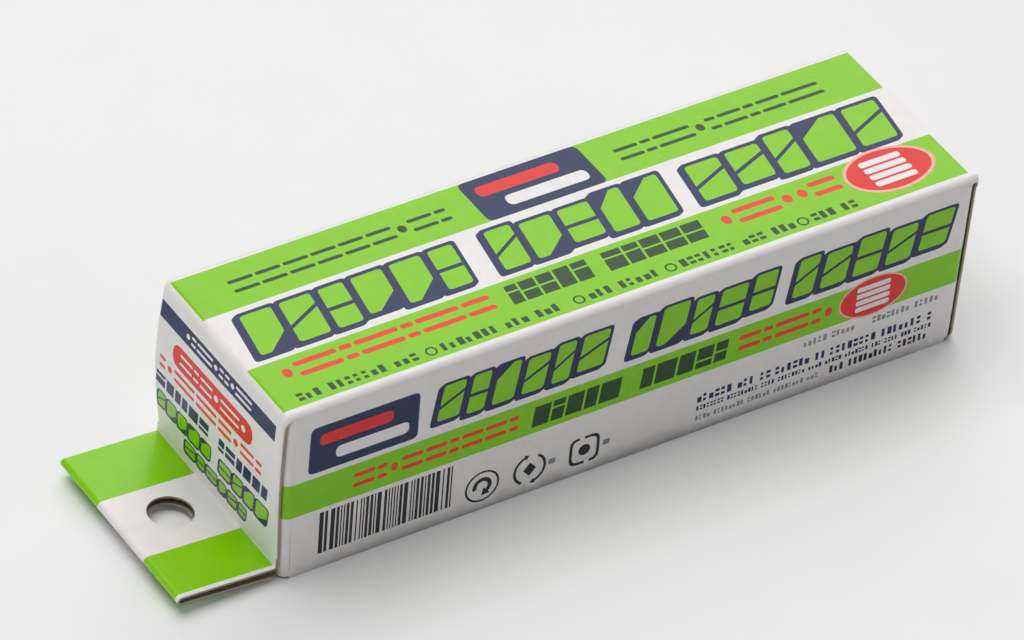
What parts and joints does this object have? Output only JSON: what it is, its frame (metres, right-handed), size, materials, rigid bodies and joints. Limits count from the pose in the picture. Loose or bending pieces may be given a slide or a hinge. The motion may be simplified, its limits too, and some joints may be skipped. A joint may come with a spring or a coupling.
{
  "type": "hang-tab putty carton",
  "caption": "Printed paperboard carton with a hang tab and tucked ends, holding film packs of two-part modelling putty.",
  "frame": {"origin": "centre of the closed carton's back panel, on its outer face, which the carton lies on", "axes": "+X along the carton from its hang end to its base end, +Y from the near side panel to the far one, +Z from the back panel to the front panel"},
  "size_m": [0.157, 0.041, 0.036],
  "materials": {
    "printed_board": "glossy coated print, green and white with dark blue and red",
    "plain_board": "uncoated grey-brown recycled board",
    "clear_film": "clear heat-sealed film",
    "resin_putty": "matt putty",
    "hardener_putty": "matt putty"
  },
  "bodies": {
    "carton": {"front_panel": "printed_board", "back_panel": "printed_board", "near_side_panel": "printed_board", "far_side_panel": "printed_board", "glue_flap": "plain_board"},
    "hang_end_lid": {"hang_end_panel": "printed_board"},
    "hang_tab": {"hang_tab_front_layer": "printed_board", "hang_tab_fold": "printed_board", "hang_tab_rear_layer": "printed_board", "hang_tab_tongue": "plain_board"},
    "hang_end_near_flap": {"hang_end_near_dust_flap": "plain_board"},
    "hang_end_far_flap": {"hang_end_far_dust_flap": "plain_board"},
    "base_end_lid": {"base_end_panel": "printed_board"},
    "base_end_tongue": {"base_tongue": "plain_board"},
    "base_end_near_flap": {"base_end_near_dust_flap": "plain_board"},
    "base_end_far_flap": {"base_end_far_dust_flap": "plain_board"},
    "putty_pack_1": {"film_pack_1": "clear_film", "resin_bar_1": "resin_putty", "hardener_bar_1": "hardener_putty"},
    "putty_pack_2": {"film_pack_2": "clear_film", "resin_bar_2": "resin_putty", "hardener_bar_2": "hardener_putty"},
    "putty_pack_3": {"film_pack_3": "clear_film", "resin_bar_3": "resin_putty", "hardener_bar_3": "hardener_putty"},
    "putty_pack_4": {"film_pack_4": "clear_film", "resin_bar_4": "resin_putty", "hardener_bar_4": "hardener_putty"}
  },
  "joints": [
    {"name": "hang_end_lid_crease", "type": "hinge", "parent": "carton", "child": "hang_end_lid", "pos_m": [-0.069, 0, 0.036], "axis": [0, 1, 0], "range_deg": [0, 130]},
    {"name": "hang_tab_crease", "type": "hinge", "parent": "hang_end_lid", "child": "hang_tab", "pos_m": [-0.069, 0, 0.0028], "axis": [0, 1, 0], "range_deg": [-90, 0]},
    {"name": "hang_end_near_flap_crease", "type": "hinge", "parent": "carton", "child": "hang_end_near_flap", "pos_m": [-0.06825, -0.0205, 0.018], "axis": [0, 0, 1], "range_deg": [0, 91]},
    {"name": "hang_end_far_flap_crease", "type": "hinge", "parent": "carton", "child": "hang_end_far_flap", "pos_m": [-0.06825, 0.0205, 0.018], "axis": [0, 0, -1], "range_deg": [0, 91]},
    {"name": "base_end_lid_crease", "type": "hinge", "parent": "carton", "child": "base_end_lid", "pos_m": [0.069, 0, 0], "axis": [0, 1, 0], "range_deg": [0, 87]},
    {"name": "base_end_tongue_crease", "type": "hinge", "parent": "base_end_lid", "child": "base_end_tongue", "pos_m": [0.069, 0, 0.03525], "axis": [0, 1, 0], "range_deg": [-26.1, 0]},
    {"name": "base_end_near_flap_crease", "type": "hinge", "parent": "carton", "child": "base_end_near_flap", "pos_m": [0.06825, -0.0205, 0.018], "axis": [0, 0, -1], "range_deg": [0, 87]},
    {"name": "base_end_far_flap_crease", "type": "hinge", "parent": "carton", "child": "base_end_far_flap", "pos_m": [0.06825, 0.0205, 0.018], "axis": [0, 0, 1], "range_deg": [0, 87]},
    {"name": "putty_pack_1_slide", "type": "slide", "parent": "carton", "child": "putty_pack_1", "axis": [1, 0, 0], "range_m": [-0.0015, 0.0015]},
    {"name": "putty_pack_2_slide", "type": "slide", "parent": "carton", "child": "putty_pack_2", "axis": [1, 0, 0], "range_m": [-0.0015, 0.0015]},
    {"name": "putty_pack_3_slide", "type": "slide", "parent": "carton", "child": "putty_pack_3", "axis": [1, 0, 0], "range_m": [-0.0015, 0.0015]},
    {"name": "putty_pack_4_slide", "type": "slide", "parent": "carton", "child": "putty_pack_4", "axis": [1, 0, 0], "range_m": [-0.0015, 0.0015]}
  ],
  "couplings": [
    {"joint": "hang_tab_crease", "follows": "hang_end_lid_crease", "ratio": -0.6923},
    {"joint": "hang_end_near_flap_crease", "follows": "hang_end_lid_crease", "ratio": 0.7},
    {"joint": "hang_end_far_flap_crease", "follows": "hang_end_lid_crease", "ratio": 0.7},
    {"joint": "base_end_tongue_crease", "follows": "base_end_lid_crease", "ratio": -0.3},
    {"joint": "base_end_near_flap_crease", "follows": "base_end_lid_crease", "ratio": 1},
    {"joint": "base_end_far_flap_crease", "follows": "base_end_lid_crease", "ratio": 1}
  ]
}
